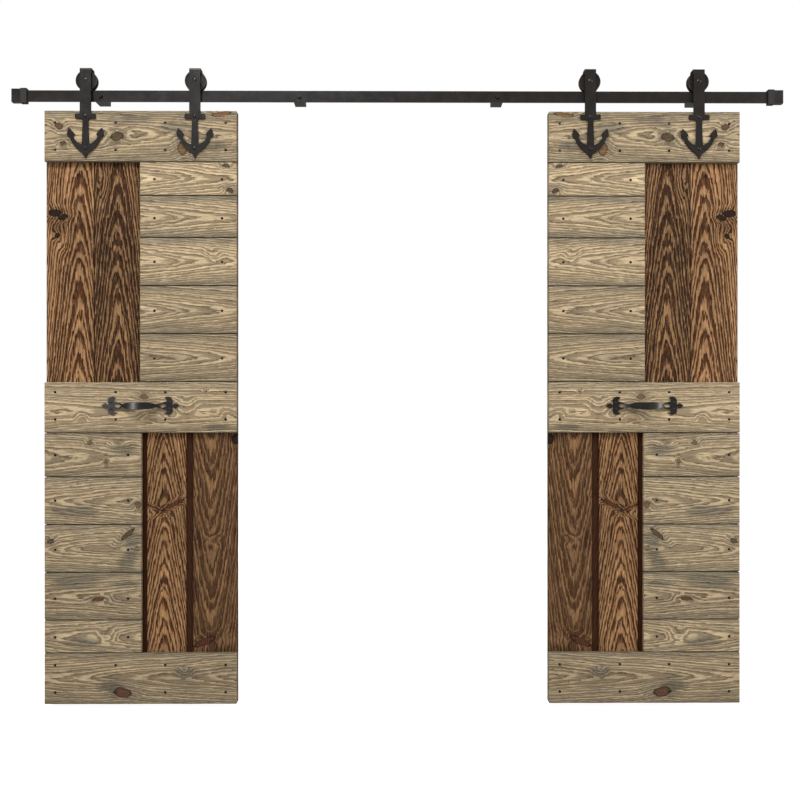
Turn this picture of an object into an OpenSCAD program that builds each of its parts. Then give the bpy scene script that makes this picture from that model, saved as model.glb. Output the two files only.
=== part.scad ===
/* [Doors] */
// Width of each door
door_w = 690; // [560:1:1000]
// Height of each door
door_h = 2134; // [1750:1:2600]
// Thickness of the front boards
front_t = 16; // [12:0.5:24]
// Thickness of the back boards
back_t = 16; // [14:0.5:24]
// Height of the top, middle and bottom rails
cross_h = 184; // [178:1:225]
// Open seam between neighbouring front boards
seam = 2; // [1:0.5:4]
// Eased edge along the front boards
ease = 2; // [1:0.5:3]
// Height of the topmost short board in the upper half
upper_first_h = 121; // [60:1:150]
// Height of the second short board in the upper half
upper_second_h = 151; // [60:1:185]
// Height of the topmost short board in the lower half
lower_first_h = 158; // [60:1:190]
// Height of the lowest short board in the lower half
lower_last_h = 118; // [60:1:145]
// How far the upper short boards lap over the second back board
upper_lap = 2; // [1:0.5:20]
// How far the lower short boards reach past the second back board, over the channel
lower_reach = 2.5; // [0:0.5:16]

/* [Back boards] */
// Tight joint between the two outer back boards
tight_joint = 1; // [0.5:0.5:3]
// Wide channel between the second and the third back board
channel = 18; // [8:1:24]
// Wide channel between the third and the fourth back board
inner_channel = 24; // [8:1:30]
// Thickness of the tongues
tongue_t = 5; // [4:0.5:6]
// How far a tongue reaches into its groove
tongue_in = 6; // [4:0.5:8]
// Clearance of a tongue in its groove
tongue_gap = 0.2; // [0.1:0.05:0.4]

/* [Nails] */
// Radius of a nail head
nail_head_r = 5; // [3:0.25:6.5]
// Height of a nail head
nail_head_h = 2.4; // [1.5:0.1:3.5]
// Radius of a nail shank
nail_r = 1.5; // [1:0.1:2]
// Length of a nail shank
nail_l = 28; // [20:1:29]
// Distance of the outer nails from the door's side edge
nail_edge = 39; // [25:1:50]
// Distance of the inner nails on a rail from the door's side edge
nail_inner = 256; // [220:1:285]
// Distance of the nail rows from a rail's edges
nail_row = 43; // [25:1:52]
// Distance of an upper short board's nails from its ends
nail_board_end = 52; // [30:1:70]
// Distance of a lower short board's inner nails from its end
nail_lower_end = 47; // [30:1:70]
// How far the middle rail's nails and handle sit above its centre line
middle_rise = 6; // [0:1:12]
// How far the nails of each upper short board sit below its centre line
upper_drop = [2, 6, 1, 4, 2];
// How far the nails of each lower short board sit below its centre line
lower_drop = [0, -1, 4, 8, 2];

/* [Rail] */
// Height of the flat rail
rail_h = 40; // [34:1:50]
// Thickness of the flat rail
rail_t = 6; // [5:0.5:8]
// Distance between neighbouring lag bolts
lag_pitch = 716; // [560:1:900]
// Length of a spacer, from the rail to the wall
spacer_l = 40; // [34:1:60]
// Width of a spacer
spacer_w = 40; // [26:1:50]
// Room between a spacer's top and the wheels that pass over it
spacer_clear = 2; // [1:0.5:4]
// Radius of a lag bolt's plain shank
lag_r = 4; // [3:0.1:5]
// Mean radius of a lag bolt's thread
lag_thread_r = 3.7; // [2.7:0.1:4.7]
// Length of a lag bolt beyond the wall face
lag_reach = 45; // [30:1:70]
// Width across the flats of a lag bolt's head
lag_flats = 13; // [11:0.5:17]
// Height of a lag bolt's head
lag_head_h = 5.2; // [3:0.1:6]
// Distance from the rail's centre to a bumper's inner face
stop_x = 1338; // [1250:1:1700]
// Length of a rubber bumper along the rail
bumper_l = 22; // [12:1:34]
// How far a rubber bumper stands above and below the rail
bumper_lip = 6.5; // [3:0.5:12]
// Depth of a rubber bumper, front to back
bumper_d = 17; // [15:1:40]
// Length of a steel end stop along the rail
stop_l = 32; // [26:1:48]
// How far a steel end stop stands above and below the rail
stop_lip = 4; // [2:0.5:10]
// Depth of a steel end stop, front to back
stop_d = 16; // [14:1:38]
// Closed end wall of a steel end stop
stop_wall = 6; // [3:0.5:8]

/* [Hangers] */
// Distance of a hanger from its door's centre line
hanger_x = 196; // [170:1:236]
// Width of a hanger strap
strap_w = 40; // [34:1:50]
// Thickness of a hanger strap
strap_t = 5; // [4:0.5:6]
// Gap between the rail's lower edge and the door's top edge
door_drop = 36; // [30:1:55]
// Radius of a wheel's running surface
tread_r = 33; // [28:0.5:40]
// Depth of a wheel's groove
groove_d = 5; // [3:0.5:6]
// Width of a wheel
wheel_w = 20; // [16:0.5:24]
// Gap between a wheel and the strap on each side
wheel_gap = 1.5; // [1:0.1:2.5]
// Radius of an axle
axle_r = 5; // [4:0.5:6]
// Outer radius of a wheel bearing
bearing_r = 13; // [11:0.5:15]
// Radius of a hanger bolt
bolt_r = 4; // [3:0.5:5]
// Radius of a hanger bolt's domed head
bolt_head_r = 7.5; // [6:0.5:9]
// Height of a hanger bolt's domed head
bolt_head_h = 4.5; // [3:0.5:6]
// Depth of the upper hanger bolt below the door's top edge
bolt_upper = 21; // [19:1:23]
// Depth of the lower hanger bolt below the door's top edge
bolt_lower = 136; // [126:1:142]

/* [Handle] */
// Height of the grip's front above the board
grip_rise = 28; // [24:1:38]
// Thickness of the grip
grip_t = 6; // [5:0.5:8]
// Width of the grip at its middle
grip_w = 25; // [18:1:30]
// Thickness of the handle's end plates
plate_t = 4; // [3:0.5:5]

/* [Placing] */
// Distance of the left door's centre line from the rail's centre
left_open = 927; // [500:1:1100]
// Distance of the right door's centre line from the rail's centre
right_open = 888; // [500:1:1100]
// Play between a wheel and the rail
wheel_play = 0.2; // [0.1:0.05:0.3]
// Clearance of bolts in their holes
bolt_gap = 0.2; // [0.1:0.05:0.4]

/* [Hidden] */
$fn = 64;
SIDES = ["left", "right"];
BOARDS = 5;
BACKS = 4;

// Distances from the wall face, which is y = 0 with the room at -y.
rail_back = -spacer_l;
rail_front = rail_back - rail_t;
wheel_mid = (rail_back + rail_front) / 2;
strap_in = wheel_w / 2 + wheel_gap;
strap_out = strap_in + strap_t;
door_front = wheel_mid - strap_in;
layer_y = door_front + front_t;
door_back = layer_y + back_t;

// Heights, with z = 0 along the line of lag bolts.
flange_r = tread_r + groove_d;
axle_z = rail_h / 2 + tread_r + wheel_play;
door_top = -rail_h / 2 - door_drop;
axle_up = axle_z - door_top;
strap_top = axle_up + flange_r + 1 + strap_t;
back_leg = axle_up - axle_r - 15;

// Heights below the door's top edge.
bay_h = (door_h - 3 * cross_h) / 2;
middle_d = cross_h + bay_h;
lower_d = middle_d + cross_h;
bottom_d = lower_d + bay_h;
handle_d = middle_d + cross_h / 2 - middle_rise;
upper_rest = (bay_h - upper_first_h - upper_second_h) / (BOARDS - 2);
lower_rest = (bay_h - lower_first_h - lower_last_h) / (BOARDS - 2);
upper_edges = [0, upper_first_h, for (i = [0:BOARDS - 2]) upper_first_h + upper_second_h + i * upper_rest];
lower_edges = [0, for (i = [0:BOARDS - 2]) lower_first_h + i * lower_rest, bay_h];

// Back boards: left and right edge of each visible face.
back_pitch = door_w / BACKS;
back_left = [0, back_pitch + tight_joint / 2, 2 * back_pitch + channel, 3 * back_pitch + inner_channel / 2];
back_right = [back_pitch - tight_joint / 2, 2 * back_pitch, 3 * back_pitch - inner_channel / 2, door_w];
upper_panel_w = back_right[1] - upper_lap;
lower_board_l = back_right[1] + lower_reach;

// Nail places on a door, as [distance from its left edge, depth below its top edge].
function rail_nails(d) = [for (x = [nail_edge, nail_inner, door_w - nail_inner, door_w - nail_edge],
    r = [nail_row, cross_h - nail_row]) [x, d + r]];
function middle(edges, i, d) = d + (edges[i] + edges[i + 1]) / 2;
nail_places = concat(rail_nails(0), rail_nails(middle_d - middle_rise), rail_nails(bottom_d),
    [for (i = [0:BOARDS - 1], x = [upper_panel_w + nail_board_end, door_w - nail_board_end])
        [x, middle(upper_edges, i, cross_h) + upper_drop[i]]],
    [for (i = [0:BOARDS - 1], x = [nail_edge, lower_board_l - nail_lower_end])
        [x, middle(lower_edges, i, lower_d) + lower_drop[i]]]);
bolt_places = [for (x = [-hanger_x, hanger_x], d = [bolt_upper, bolt_lower]) [door_w / 2 + x, d]];

// Handle proportions: the grip is an arc that lands on two flat end plates.
foot_x = 75;
plate_end = 140;
screw_x = 105;
screw_z = 12;
screw_r = 2;
screw_head_r = 4;
screw_head_h = 2.4;
screw_l = 18;
arc_sag = grip_rise - plate_t;
arc_r = (foot_x * foot_x + arc_sag * arc_sag) / (2 * arc_sag);
screw_places = [for (x = [-screw_x, screw_x], z = [-screw_z, screw_z]) [door_w / 2 + x, handle_d + z]];

lag_x = [for (i = [-1.5:1:1.5]) i * lag_pitch];
bumper_h = rail_h + 2 * bumper_lip;
stop_h = rail_h + 2 * stop_lip;
hole_gap = 0.05;
nut_h = 6.5;
washer_h = 1.6;
metal = "#3a3734";
light_wood = "#b3a27c";
dark_wood = "#5d3f28";

// Puts a door's pieces in place: x from the door's outer edge, z down from its top edge.
module on_door(side) {
    if (side == "left") translate([-left_open - door_w / 2, 0, door_top]) children();
    else translate([right_open + door_w / 2, 0, door_top]) mirror([1, 0, 0]) children();
}

// Stands a flat outline up, facing the room, with its back at y.
module facing(y, t) {
    translate([0, y, 0]) rotate([90, 0, 0]) linear_extrude(t) children();
}

// A round bar through the wall's direction, from y1 to y2.
module bar_y(x, z, r, y1, y2) {
    translate([x, y2, z]) rotate([90, 0, 0]) cylinder(r = r, h = y2 - y1);
}

// A shallow domed head whose flat side lies at y and which bulges towards the room.
module dome(x, z, r, h, y) {
    ball = (r * r + h * h) / (2 * h);
    translate([x, y, z]) rotate([90, 0, 0]) intersection() {
        translate([0, 0, h - ball]) sphere(ball);
        cylinder(r = r, h = h);
    }
}

module hex_y(x, z, flats, y1, y2) {
    translate([x, y2, z]) rotate([90, 0, 0]) cylinder(r = flats / sqrt(3), h = y2 - y1, $fn = 6);
}

function inside(p, x1, x2, d1, d2) = p[0] > x1 && p[0] < x2 && p[1] > d1 && p[1] < d2;

// Holes for the nails, screws and bolts that pass through a board between these edges.
module fixing_holes(x1, x2, d1, d2) {
    for (p = nail_places) if (inside(p, x1, x2, d1, d2))
        bar_y(p[0], -p[1], nail_r + hole_gap, door_front - 1, door_front + nail_l + hole_gap);
    for (p = screw_places) if (inside(p, x1, x2, d1, d2))
        bar_y(p[0], -p[1], screw_r + hole_gap, door_front - 1, door_front + screw_l + hole_gap);
    for (p = bolt_places) if (inside(p, x1, x2, d1, d2))
        bar_y(p[0], -p[1], bolt_r + bolt_gap, door_front - 1, door_back + 1);
}

// A front board from x1 to x2 and from depth d1 to d2, with eased front edges.
module front_board(x1, x2, d1, d2) {
    color(light_wood) difference() {
        translate([x1, layer_y, -d2]) rotate([90, 0, 90]) linear_extrude(x2 - x1)
            polygon([[0, 0], [0, d2 - d1], [ease - front_t, d2 - d1], [-front_t, d2 - d1 - ease],
                [-front_t, ease], [ease - front_t, 0]]);
        fixing_holes(x1, x2, d1, d2);
    }
}

module top_rail() {
    front_board(0, door_w, 0, cross_h - seam / 2);
}

module middle_rail() {
    front_board(0, door_w, middle_d + seam / 2, lower_d - seam / 2);
}

module bottom_rail() {
    front_board(0, door_w, bottom_d + seam / 2, door_h);
}

module upper_board(i) {
    front_board(upper_panel_w, door_w,
        cross_h + upper_edges[i] + seam / 2, cross_h + upper_edges[i + 1] - seam / 2);
}

module lower_board(i) {
    front_board(0, lower_board_l,
        lower_d + lower_edges[i] + seam / 2, lower_d + lower_edges[i + 1] - seam / 2);
}

// A full-height back board with a tongue on its right edge and a groove in its left edge.
module back_board(i) {
    mid_y = layer_y + back_t / 2;
    tongue_end = i < BACKS - 1 ? back_left[i + 1] + tongue_in : door_w;
    hole_r = bolt_r + bolt_gap;
    color(dark_wood) difference() {
        translate([0, 0, -door_h]) linear_extrude(door_h) difference() {
            union() {
                translate([back_left[i], layer_y]) square([back_right[i] - back_left[i], back_t]);
                if (i < BACKS - 1)
                    translate([back_right[i] - 1, mid_y - tongue_t / 2])
                        square([tongue_end - back_right[i] + 1, tongue_t]);
            }
            if (i > 0)
                translate([back_left[i] - 1, mid_y - tongue_t / 2 - tongue_gap])
                    square([1 + tongue_in + tongue_gap, tongue_t + 2 * tongue_gap]);
        }
        fixing_holes(back_left[i] - hole_r, tongue_end + hole_r, 0, door_h);
    }
}

module nails() {
    color(metal) for (p = nail_places) {
        dome(p[0], -p[1], nail_head_r, nail_head_h, door_front);
        bar_y(p[0], -p[1], nail_r, door_front, door_front + nail_l);
    }
}

// The folded top of a hanger, seen from its side.
module fold_side(w, h, r) {
    square([w, h - r]);
    translate([r, 0]) square([w - 2 * r, h]);
    for (x = [r, w - r]) translate([x, h - r]) circle(r);
}

module rounded_bar(w, h, r) {
    translate([-w / 2, r - h / 2]) square([w, h - 2 * r]);
    translate([r - w / 2, -h / 2]) square([w - 2 * r, h]);
    for (x = [-1, 1], y = [-1, 1]) translate([x * (w / 2 - r), y * (h / 2 - r)]) circle(r);
}

// The anchor at the foot of a hanger: y is the depth below the door's top edge, turned downwards.
module anchor_outline() {
    arm_x = 44.3;
    arm_d = 62.2;
    arm_r = 106.9;
    mirror([0, 1]) {
        translate([0, 21.5]) rounded_bar(74, 17.5, 4);
        polygon([[-14, 29], [14, 29], [10, 38], [12.5, 110], [14, 130], [-14, 130], [-12.5, 110], [-10, 38]]);
        difference() {
            intersection() {
                translate([arm_x, arm_d]) circle(arm_r, $fn = 128);
                translate([-arm_x, arm_d]) circle(arm_r, $fn = 128);
                translate([-70, 90]) square([140, 80]);
            }
            translate([0, 77.5]) circle(46.8);
        }
        polygon([[-13, 146], [13, 146], [8.5, 157], [0, 173], [-8.5, 157]]);
        for (s = [-1, 1]) scale([s, 1])
            polygon([[59.6, 63], [64, 74], [66, 86], [62.5, 94.5], [52, 97.5], [43, 93.5], [38.7, 87], [44, 78]]);
    }
}

module hanger(i) {
    x = door_w / 2 + (i == 0 ? -hanger_x : hanger_x);
    color(metal) difference() {
        union() {
            translate([x - strap_w / 2, wheel_mid - strap_out, back_leg]) rotate([90, 0, 90])
                linear_extrude(strap_w) difference() {
                    fold_side(2 * strap_out, strap_top - back_leg, strap_t + 2);
                    translate([strap_t, -1])
                        fold_side(2 * strap_in, strap_top - back_leg - strap_t + 1, 2);
                }
            translate([x, 0, 0]) facing(door_front, strap_t) {
                translate([-strap_w / 2, -16]) square([strap_w, back_leg + 20]);
                anchor_outline();
            }
        }
        bar_y(x, axle_up, axle_r + bolt_gap, wheel_mid - strap_out - 1, wheel_mid + strap_out + 1);
        for (d = [bolt_upper, bolt_lower])
            bar_y(x, -d, bolt_r + bolt_gap, door_front - strap_t - 1, door_front + 1);
    }
}

module washer_y(x, z, r_out, r_in, y1, y2) {
    difference() {
        bar_y(x, z, r_out, y1, y2);
        bar_y(x, z, r_in, y1 - 1, y2 + 1);
    }
}

// Bolts that clamp the hangers to the door, and the axles that carry the wheels.
module hanger_bolts() {
    nut_front = door_back + washer_h + hole_gap;
    bolt_end = nut_front + nut_h + 2;
    nut_back = wheel_mid + strap_out + nut_h;
    color(metal) {
        for (p = bolt_places) {
            dome(p[0], -p[1], bolt_head_r, bolt_head_h, door_front - strap_t);
            bar_y(p[0], -p[1], bolt_r, door_front - strap_t, bolt_end);
            washer_y(p[0], -p[1], bolt_r * 2.4, bolt_r + bolt_gap, door_back, door_back + washer_h);
            difference() {
                hex_y(p[0], -p[1], bolt_r * 3.25, nut_front, nut_front + nut_h);
                bar_y(p[0], -p[1], bolt_r + hole_gap, door_back, bolt_end + 1);
            }
        }
        for (x = [-hanger_x, hanger_x]) translate([door_w / 2 + x, 0, axle_up]) {
            dome(0, 0, axle_r + 2.5, 2.5, wheel_mid - strap_out);
            bar_y(0, 0, axle_r, wheel_mid - strap_out, nut_back + 2);
            difference() {
                hex_y(0, 0, axle_r * 3.2, wheel_mid + strap_out, nut_back);
                bar_y(0, 0, axle_r + hole_gap, wheel_mid, nut_back + 3);
            }
            for (s = [-1, 1]) translate([0, wheel_mid + s * (strap_in + wheel_w / 2) / 2, 0])
                washer_y(0, 0, axle_r + 3, axle_r + 0.1, 0.1 - wheel_gap / 2, wheel_gap / 2 - 0.1);
        }
    }
}

module on_axle(i) {
    translate([door_w / 2 + (i == 0 ? -hanger_x : hanger_x), wheel_mid, axle_up])
        rotate([90, 0, 0]) children();
}

// A grooved wheel with a seat for its bearing, open to the room side.
module wheel(i) {
    half = wheel_w / 2;
    groove = rail_t / 2 + 0.5;
    seat = half - 12;
    color(metal) on_axle(i) rotate_extrude()
        polygon([[bearing_r - 2, -half], [flange_r - 1, -half], [flange_r, 1 - half],
            [flange_r, -groove - 1], [tread_r, -groove], [tread_r, groove], [flange_r, groove + 1],
            [flange_r, half - 1], [flange_r - 1, half], [flange_r - 6, half], [flange_r - 7, half - 1.5],
            [bearing_r + 5, half - 1.5], [bearing_r + 4, half], [bearing_r, half],
            [bearing_r, seat], [bearing_r - 2, seat]]);
}

module bearing(i) {
    half = wheel_w / 2;
    seat = half - 12;
    color("#8f9194") on_axle(i) translate([0, 0, seat + hole_gap]) difference() {
        cylinder(r = bearing_r - 0.02, h = half - seat - 2 * hole_gap);
        translate([0, 0, -1]) cylinder(r = axle_r + 0.05, h = wheel_w);
    }
}

// One end of the handle seen from the front: leaf tip, two curled arms and a split neck.
module handle_end() {
    difference() {
        union() {
            polygon([[55, -7], [62, -5.6], [67, -7.5], [86, -13.5], [97, -16], [115, -14],
                [115, 14], [97, 16], [86, 13.5], [67, 7.5], [62, 5.6], [55, 7]]);
            polygon([[112, -5], [118, -4], [122.5, -9], [130, -7.5], [plate_end, 0],
                [130, 7.5], [122.5, 9], [118, 4], [112, 5]]);
            for (s = [-1, 1]) difference() {
                translate([99.6, s * 16.4]) circle(16.4);
                translate([86.5, s * 18.5]) circle(9);
            }
        }
        intersection() {
            translate([80.5, 11.5]) circle(18);
            translate([80.5, -11.5]) circle(18);
        }
    }
}

module handle_front() {
    for (s = [-1, 1]) scale([s, 1]) handle_end();
    polygon([[-58, -6.2], [-38, 0.5 - grip_w / 2], [0, -grip_w / 2], [38, 0.5 - grip_w / 2], [58, -6.2],
        [58, 6.2], [38, grip_w / 2 - 0.5], [0, grip_w / 2], [-38, grip_w / 2 - 0.5], [-58, 6.2]]);
}

// The handle's shape from above: flat end plates and an arched grip, the board's face at y = 0.
module handle_arch() {
    for (s = [-1, 1]) translate([s * (foot_x + plate_end + 1) / 2, plate_t / 2])
        square([plate_end + 1 - foot_x, plate_t], center = true);
    intersection() {
        translate([0, grip_rise - arc_r]) difference() {
            circle(arc_r, $fn = 128);
            circle(arc_r - grip_t, $fn = 128);
        }
        translate([-plate_end, 0]) square([2 * plate_end, grip_rise + 1]);
    }
}

module handle() {
    color(metal) translate([door_w / 2, door_front, -handle_d]) difference() {
        intersection() {
            rotate([90, 0, 0]) linear_extrude(grip_rise + 1) handle_front();
            translate([0, 0, -50]) linear_extrude(100) mirror([0, 1]) handle_arch();
        }
        for (x = [-screw_x, screw_x], z = [-screw_z, screw_z])
            bar_y(x, z, screw_r + hole_gap, -grip_rise, 1);
    }
}

module handle_screws() {
    color(metal) for (p = screw_places) {
        dome(p[0], -p[1], screw_head_r, screw_head_h, door_front - plate_t);
        bar_y(p[0], -p[1], screw_r, door_front - plate_t, door_front + screw_l);
    }
}

module rail() {
    color(metal) difference() {
        translate([-stop_x - bumper_l - stop_l + stop_wall, rail_front, -rail_h / 2])
            cube([2 * (stop_x + bumper_l + stop_l - stop_wall), rail_t, rail_h]);
        for (x = lag_x) bar_y(x, 0, lag_r + bolt_gap, rail_front - 1, rail_back + 1);
    }
}

module spacers() {
    spacer_h = rail_h - groove_d - spacer_clear;
    color(metal) for (x = lag_x) difference() {
        translate([x - spacer_w / 2, rail_back, -rail_h / 2]) cube([spacer_w, spacer_l, spacer_h]);
        bar_y(x, 0, lag_r + bolt_gap, rail_back - 1, 1);
    }
}

module lag_bolts() {
    point = 8;
    color(metal) for (x = lag_x) {
        hex_y(x, 0, lag_flats, rail_front - lag_head_h, rail_front);
        bar_y(x, 0, lag_r, rail_front, 0);
        bar_y(x, 0, lag_thread_r, 0, lag_reach - point);
        translate([x, lag_reach, 0]) rotate([90, 0, 0]) cylinder(r1 = 0.5, r2 = lag_thread_r, h = point);
    }
}

// A block around the rail, between two distances from the rail's centre, with the rail's slot cut out.
module rail_block(x1, x2, h, d, slot_end, s) {
    slot = 0.15;
    difference() {
        translate([s > 0 ? x1 : -x2, wheel_mid - d / 2, -h / 2]) cube([x2 - x1, d, h]);
        translate([s > 0 ? x1 - 1 : -slot_end, rail_front - slot, -rail_h / 2 - slot])
            cube([slot_end - x1 + 1, rail_t + 2 * slot, rail_h + 2 * slot]);
    }
}

module stop_bumpers() {
    color("#2b2a29") for (s = [-1, 1])
        rail_block(stop_x, stop_x + bumper_l, bumper_h, bumper_d, stop_x + bumper_l + 1, s);
}

module end_stops() {
    inner = stop_x + bumper_l;
    outer = inner + stop_l;
    color(metal) for (s = [-1, 1]) difference() {
        rail_block(inner, outer, stop_h, stop_d, outer - stop_wall + 0.1, s);
        bar_y(s * (inner + stop_l / 3), 0, 3 + hole_gap, rail_back - 1, 0);
    }
}

// Set screws that press the end stops onto the rail from behind.
module stop_screws() {
    color("#6f6f70") for (s = [-1, 1])
        bar_y(s * (stop_x + bumper_l + stop_l / 3), 0, 3, rail_back, wheel_mid + stop_d / 2 - 1);
}

rail();
spacers();
lag_bolts();
end_stops();
stop_bumpers();
stop_screws();
for (s = SIDES) {
    on_door(s) top_rail();
    on_door(s) middle_rail();
    on_door(s) bottom_rail();
    on_door(s) nails();
    on_door(s) hanger_bolts();
    on_door(s) handle();
    on_door(s) handle_screws();
    for (i = [0:BOARDS - 1]) {
        on_door(s) upper_board(i);
        on_door(s) lower_board(i);
    }
    for (i = [0:BACKS - 1])
        on_door(s) back_board(i);
    for (i = [0, 1]) {
        on_door(s) hanger(i);
        on_door(s) wheel(i);
        on_door(s) bearing(i);
    }
}
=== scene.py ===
"""A pair of sliding barn doors on a flat rail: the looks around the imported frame.

The boards are remade with eased, slightly uneven edges and brushed relief, and stand for their CAD
nodes. The steel and rubber pieces keep their CAD shape and get softened edges and finishes.
"""

import functools
import math

import bpy
import numpy as np
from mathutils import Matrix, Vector


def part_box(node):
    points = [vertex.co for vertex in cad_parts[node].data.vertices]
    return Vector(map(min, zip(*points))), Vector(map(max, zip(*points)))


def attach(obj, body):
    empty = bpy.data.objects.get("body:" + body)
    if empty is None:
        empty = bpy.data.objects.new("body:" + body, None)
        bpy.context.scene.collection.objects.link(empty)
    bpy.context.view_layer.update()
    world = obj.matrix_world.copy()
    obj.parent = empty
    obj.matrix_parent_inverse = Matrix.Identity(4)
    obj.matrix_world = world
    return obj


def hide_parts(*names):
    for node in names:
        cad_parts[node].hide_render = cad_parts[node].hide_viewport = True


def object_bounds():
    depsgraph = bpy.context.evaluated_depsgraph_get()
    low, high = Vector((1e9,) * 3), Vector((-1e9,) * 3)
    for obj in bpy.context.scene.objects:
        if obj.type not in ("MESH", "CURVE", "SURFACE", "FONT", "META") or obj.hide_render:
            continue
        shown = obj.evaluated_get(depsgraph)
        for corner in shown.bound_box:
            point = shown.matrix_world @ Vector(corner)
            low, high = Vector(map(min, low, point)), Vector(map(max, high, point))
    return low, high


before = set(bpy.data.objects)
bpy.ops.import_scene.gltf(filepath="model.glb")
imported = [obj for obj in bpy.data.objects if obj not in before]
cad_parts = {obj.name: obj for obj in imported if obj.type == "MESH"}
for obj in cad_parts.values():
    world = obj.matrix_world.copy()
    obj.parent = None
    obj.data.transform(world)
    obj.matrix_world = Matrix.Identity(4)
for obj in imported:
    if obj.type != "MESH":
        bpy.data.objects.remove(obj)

CAD_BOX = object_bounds()
MM = 0.001
MIRROR = {"left": 1, "right": -1}  # the right door is the left one's mirror image
BODY = {"left": "left_door", "right": "right_door"}

# ---------------------------------------------------------------- sizes read from the frame

TOP_LO, TOP_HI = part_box("left_top_rail")
DOOR_TOP = TOP_HI.z
FRONT = TOP_LO.y  # the light boards' faces
LAYER = TOP_HI.y  # where the light boards lie on the dark ones
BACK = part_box("left_back_board_1")[1].y
OUTER_EDGE = {"left": TOP_LO.x, "right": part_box("right_top_rail")[1].x}


# ---------------------------------------------------------------- node trees

MIX_SHARE, MIX_FIRST, MIX_SECOND = 0, 6, 7  # the inputs that a Mix node has for colours
MIX_RESULT = 2  # and its output


def tone(red, green, blue):
    """A screen colour, 0 to 255 a channel, as the linear colour that a shader takes."""
    linear = [
        c / 12.92 if c <= 0.04045 else ((c + 0.055) / 1.055) ** 2.4
        for c in (red / 255, green / 255, blue / 255)
    ]
    return (*linear, 1.0)


class Shader:
    """One material's node tree. Most methods add nodes and give back the last one's output."""

    def __init__(self, name):
        self.material = bpy.data.materials.new(name)
        self.material.use_nodes = True
        self.tree = self.material.node_tree
        self.surface = self.tree.nodes["Principled BSDF"]

    def feed(self, socket, value):
        """Links another node's output to this input, or sets the input to a constant."""
        if isinstance(value, bpy.types.NodeSocket):
            self.tree.links.new(value, socket)
        else:
            socket.default_value = value

    def add(self, kind, inputs=(), **settings):
        """Adds a node of any kind and gives back the node itself."""
        node = self.tree.nodes.new("ShaderNode" + kind)
        for name, value in settings.items():
            setattr(node, name, value)
        for name, value in dict(inputs).items():
            self.feed(node.inputs[name], value)
        return node

    def math(self, operation, *values):
        node = self.add("Math", operation=operation)
        for socket, value in zip(node.inputs, values):
            self.feed(socket, value)
        return node.outputs[0]

    def chain(self, operation, *values):
        """One operation over many values: their product, or the least or greatest of them."""
        return functools.reduce(lambda first, second: self.math(operation, first, second), values)

    def vector(self, operation, *values):
        node = self.add("VectorMath", operation=operation)
        for socket, value in zip(node.inputs, values):
            self.feed(socket, value)
        return node.outputs["Value" if operation == "LENGTH" else "Vector"]

    def attribute(self, name):
        return self.add("Attribute", attribute_name=name).outputs["Vector"]

    def place(self):
        return self.add("TexCoord").outputs["Object"]

    def parts(self, vector):
        return self.add("SeparateXYZ", {"Vector": vector}).outputs

    def noise(self, vector, scale, detail=2.0, roughness=0.5):
        given = {"Vector": vector, "Scale": scale, "Detail": detail, "Roughness": roughness}
        return self.add("TexNoise", given).outputs["Fac"]

    def streaks(self, vector, stretch, detail, roughness):
        """Noise with a scale of its own along each axis."""
        return self.noise(self.vector("MULTIPLY", vector, stretch), 1.0, detail, roughness)

    def spread(self, value, start, end, low=0.0, high=1.0):
        """Goes smoothly from low at start to high at end, and stays there outside."""
        given = {"Value": value, "From Min": start, "From Max": end, "To Min": low, "To Max": high}
        return self.add("MapRange", given, interpolation_type="SMOOTHSTEP").outputs[0]

    def mix(self, share, first, second, blend="MIX"):
        node = self.add("Mix", data_type="RGBA", blend_type=blend)
        for index, value in ((MIX_SHARE, share), (MIX_FIRST, first), (MIX_SECOND, second)):
            self.feed(node.inputs[index], value)
        return node.outputs[MIX_RESULT]

    def scaled(self, colour, level):
        """A colour made lighter or darker by this factor."""
        grey = self.add("CombineXYZ", {"X": level, "Y": level, "Z": level}).outputs[0]
        return self.mix(1.0, colour, grey, "MULTIPLY")

    def bump(self, height, distance, strength=1.0):
        given = {"Height": height, "Distance": distance, "Strength": strength}
        return self.add("Bump", given).outputs["Normal"]

    def finish(self, **inputs):
        """Feeds the surface's inputs, named with _ for each space, and gives back the material."""
        for name, value in inputs.items():
            self.feed(self.surface.inputs[name.replace("_", " ")], value)
        return self.material


# ---------------------------------------------------------------- knots

# Each knot: millimetres from the door's outer edge and below its top, half width, half height, and
# its turn in degrees. They are listed by the look of their heart; a curl only bends the grain.
LIGHT_KNOTS = {
    "red": [(54, 56, 14, 11, 20), (68, 117, 11, 7, 0), (281, 2092, 31, 17, 8), (194, 1756, 22, 7, -6)],
    "orange": [(495, 137, 15, 22, -15), (636, 12, 36, 8, -8), (164, 1194, 10, 7, 0),
               (358, 1029, 13, 8, 0), (580, 1010, 5, 4, 0), (222, 1262, 5, 8, 0),
               (337, 1418, 11, 11, 0)],
    "brown": [(260, 93, 23, 14, -12), (299, 1524, 30, 8, -42), (21, 1549, 14, 8, -20),
              (652, 198, 14, 6, 10), (667, 286, 13, 9, 30)],
    "curl": [(389, 1097, 22, 10, 0), (134, 1099, 11, 8, 0), (507, 1062, 18, 16, 0),
             (661, 1095, 14, 8, 20), (264, 1201, 16, 7, 0), (604, 516, 15, 10, 35),
             (505, 2022, 12, 8, 0), (222, 1886, 16, 12, 0)],
}
LIGHT_SMUDGES = [  # grey clouds on the weathered boards, listed like knots
    (300, 32, 110, 24, 0), (470, 60, 70, 26, 0), (600, 120, 60, 24, 0), (285, 1222, 62, 30, 0),
    (98, 1442, 105, 28, 0), (300, 1618, 55, 30, -50), (320, 1545, 30, 44, 30), (107, 1696, 110, 30, -6),
    (290, 1700, 60, 22, 0), (140, 1910, 60, 22, 0), (240, 2070, 62, 30, 0), (503, 2016, 48, 32, 0),
    (620, 1140, 60, 16, 0),
]
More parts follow.
